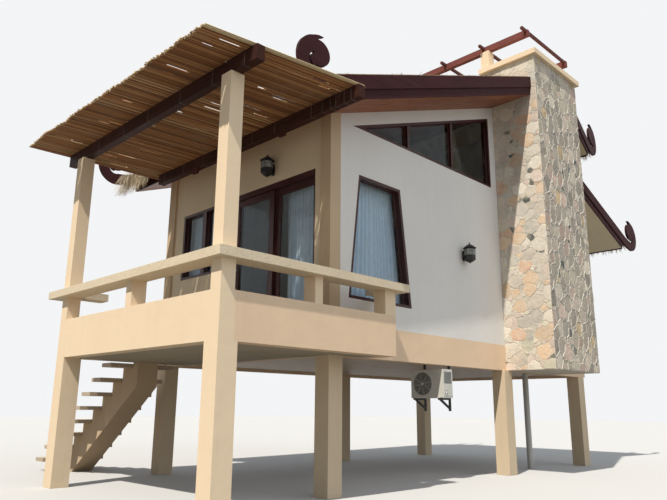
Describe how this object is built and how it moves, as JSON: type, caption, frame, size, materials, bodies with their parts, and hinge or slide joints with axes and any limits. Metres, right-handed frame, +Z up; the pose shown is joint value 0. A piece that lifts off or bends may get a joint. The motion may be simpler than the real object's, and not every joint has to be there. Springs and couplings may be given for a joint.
{
  "type": "stilt house",
  "caption": "House on square stilts with a covered corner terrace, a sliding door, a stone-faced pylon and a two-tier thatched roof with scroll-ended rake boards.",
  "frame": {"origin": "middle of the whole footprint's bounding box, at the level of the stilt feet", "axes": "+Z up, -Y towards the terrace at the front, +X towards the side with the stone pylon"},
  "size_m": [7.025, 12.2674, 8.23],
  "materials": {
    "terrace_stilts": "painted concrete",
    "house_stilts": "tan painted plaster",
    "drain_pipe": "grey plastic pipe",
    "terrace_slab": "tan painted plaster",
    "front_parapet": "painted concrete",
    "right_parapet": "painted concrete",
    "parapet_returns": "painted concrete",
    "rail_stubs": "painted concrete",
    "front_rail": "painted concrete",
    "right_rail": "painted concrete",
    "rail_returns": "painted concrete",
    "upper_posts": "painted concrete",
    "stair_stringer": "tan painted plaster",
    "stair_treads": "tan painted plaster",
    "house_floor": "tan painted plaster",
    "side_base_beams": "painted concrete",
    "end_base_beams": "painted concrete",
    "front_wall_sides": "smooth painted plaster",
    "front_wall_head": "smooth painted plaster",
    "right_wall": "smooth painted plaster",
    "left_wall": "smooth painted plaster",
    "back_wall": "smooth painted plaster",
    "upper_back_wall": "smooth painted plaster",
    "corner_columns": "tan painted plaster",
    "stone_pylon": "stone facing",
    "pylon_cap": "painted concrete",
    "front_roof_deck": "varnished dark boards",
    "rear_roof_deck": "tan painted plaster",
    "lower_roof_deck": "tan painted plaster",
    "front_thatch": "dry thatch",
    "rear_thatch": "dry thatch",
    "lower_thatch": "dry thatch",
    "front_rakes": "maroon painted timber",
    "rear_rakes": "maroon painted timber",
    "lower_rakes": "maroon painted timber",
    "eave_fascias": "maroon painted timber",
    "outer_beam": "mahogany varnish",
    "inner_beam": "mahogany varnish",
    "beam_blocks": "mahogany varnish",
    "reed_cover": "dry reeds",
    "roof_posts": "painted concrete",
    "roof_beams": "red-brown paint",
    "roof_cross_pieces": "red-brown paint",
    "window_frames": "mahogany varnish",
    "window_glass": "clear",
    "curtain_rods": "woven white cloth",
    "door_frame": "mahogany varnish",
    "fixed_leaf": "mahogany varnish",
    "fixed_leaf_glass": "clear",
    "sliding_leaf": "mahogany varnish",
    "sliding_leaf_glass": "clear",
    "door_curtain": "woven white cloth",
    "side_curtain": "woven white cloth",
    "front_curtain": "woven white cloth",
    "front_lantern": "dark painted metal",
    "side_lantern": "dark painted metal",
    "outdoor_unit": "light grey painted metal",
    "unit_brackets": "dark painted metal"
  },
  "bodies": {
    "house": {"terrace_stilts": "terrace_stilts", "house_stilts": "house_stilts", "drain_pipe": "drain_pipe", "terrace_slab": "terrace_slab", "front_parapet": "front_parapet", "right_parapet": "right_parapet", "parapet_returns": "parapet_returns", "rail_stubs": "rail_stubs", "front_rail": "front_rail", "right_rail": "right_rail", "rail_returns": "rail_returns", "upper_posts": "upper_posts", "stair_stringer": "stair_stringer", "stair_treads": "stair_treads", "house_floor": "house_floor", "side_base_beams": "side_base_beams", "end_base_beams": "end_base_beams", "front_wall_sides": "front_wall_sides", "front_wall_head": "front_wall_head", "right_wall": "right_wall", "left_wall": "left_wall", "back_wall": "back_wall", "upper_back_wall": "upper_back_wall", "corner_columns": "corner_columns", "stone_pylon": "stone_pylon", "pylon_cap": "pylon_cap", "front_roof_deck": "front_roof_deck", "rear_roof_deck": "rear_roof_deck", "lower_roof_deck": "lower_roof_deck", "front_thatch": "front_thatch", "rear_thatch": "rear_thatch", "lower_thatch": "lower_thatch", "front_rakes": "front_rakes", "rear_rakes": "rear_rakes", "lower_rakes": "lower_rakes", "eave_fascias": "eave_fascias", "outer_beam": "outer_beam", "inner_beam": "inner_beam", "beam_blocks": "beam_blocks", "reed_cover": "reed_cover", "roof_posts": "roof_posts", "roof_beams": "roof_beams", "roof_cross_pieces": "roof_cross_pieces", "window_frames": "window_frames", "window_glass": "window_glass", "curtain_rods": "curtain_rods", "door_frame": "door_frame", "fixed_leaf": "fixed_leaf", "fixed_leaf_glass": "fixed_leaf_glass", "door_curtain": "door_curtain", "side_curtain": "side_curtain", "front_curtain": "front_curtain", "front_lantern": "front_lantern", "side_lantern": "side_lantern", "outdoor_unit": "outdoor_unit", "unit_brackets": "unit_brackets"},
    "sliding_leaf": {"sliding_leaf": "sliding_leaf", "sliding_leaf_glass": "sliding_leaf_glass"}
  },
  "joints": [
    {"name": "door_slide", "type": "slide", "parent": "house", "child": "sliding_leaf", "axis": [1, 0, 0], "range_m": [0, 0.88]}
  ]
}
